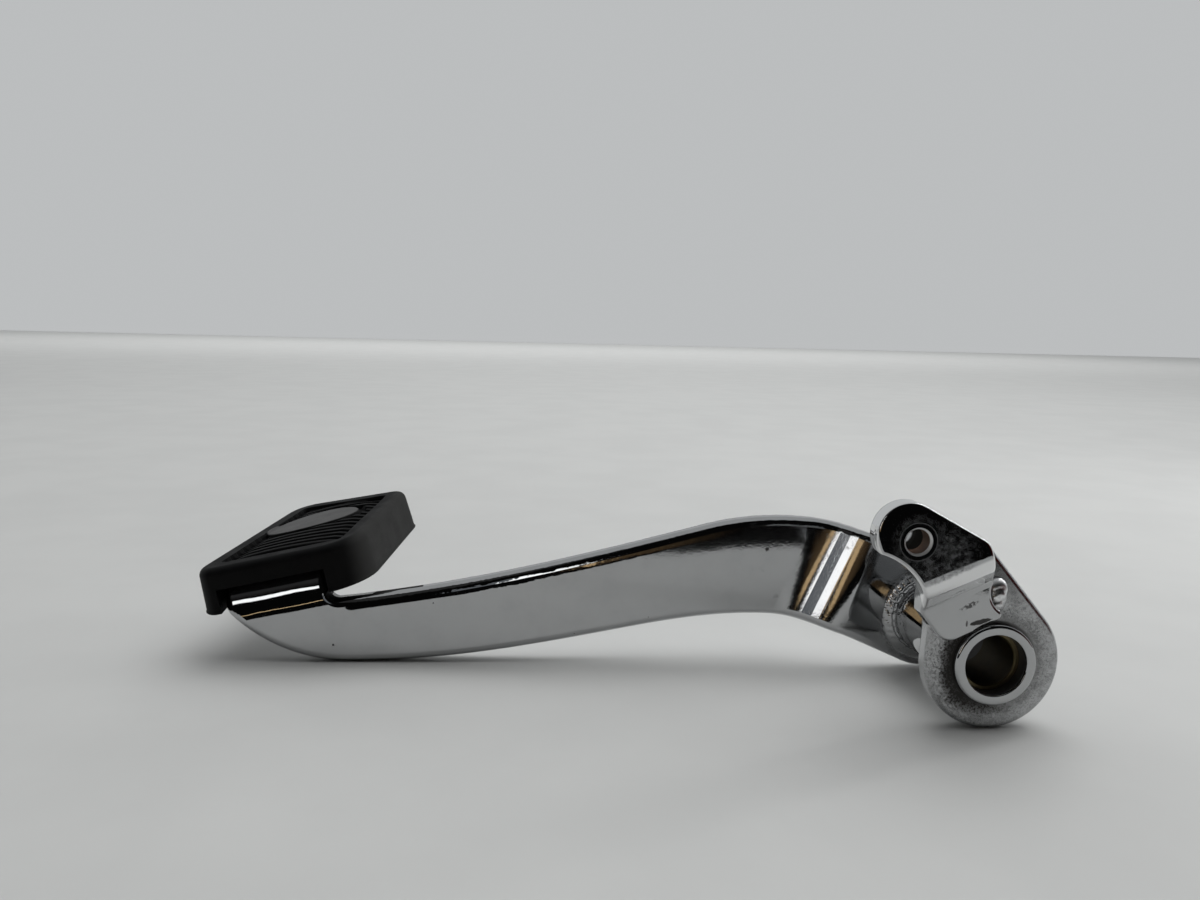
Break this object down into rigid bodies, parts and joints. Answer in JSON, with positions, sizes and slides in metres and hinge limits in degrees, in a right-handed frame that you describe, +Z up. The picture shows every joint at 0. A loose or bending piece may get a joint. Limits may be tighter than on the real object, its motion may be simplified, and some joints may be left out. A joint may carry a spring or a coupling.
{
  "type": "rear brake pedal",
  "caption": "Chromed motorcycle rear brake pedal: joggled strap on a bushed pivot tube, folded over into a tread with a ribbed rubber cover, and a stepped lever for the brake rod.",
  "frame": {"origin": "middle of the pivot bore, halfway along the tube", "axes": "+Y along the pivot bore towards the outboard side, -X forward along the arm to the tread, +Z up"},
  "size_m": [0.2769, 0.1427, 0.0727],
  "materials": {
    "plated_steel": "bright chrome plating with grainy patches, pits and grime",
    "weld_bead": "rough plated weld",
    "bush_bronze": "dull oiled bronze",
    "pad_rubber": "matt black moulded rubber"
  },
  "bodies": {
    "root": {"pedal_arm": "plated_steel", "pivot_tube": "plated_steel", "hub_plate": "plated_steel", "cylinder_lever": "plated_steel", "arm_weld": "weld_bead", "lever_weld": "weld_bead", "inner_bush": "bush_bronze", "outer_bush": "bush_bronze", "tread_rubber": "pad_rubber"}
  },
  "joints": []
}
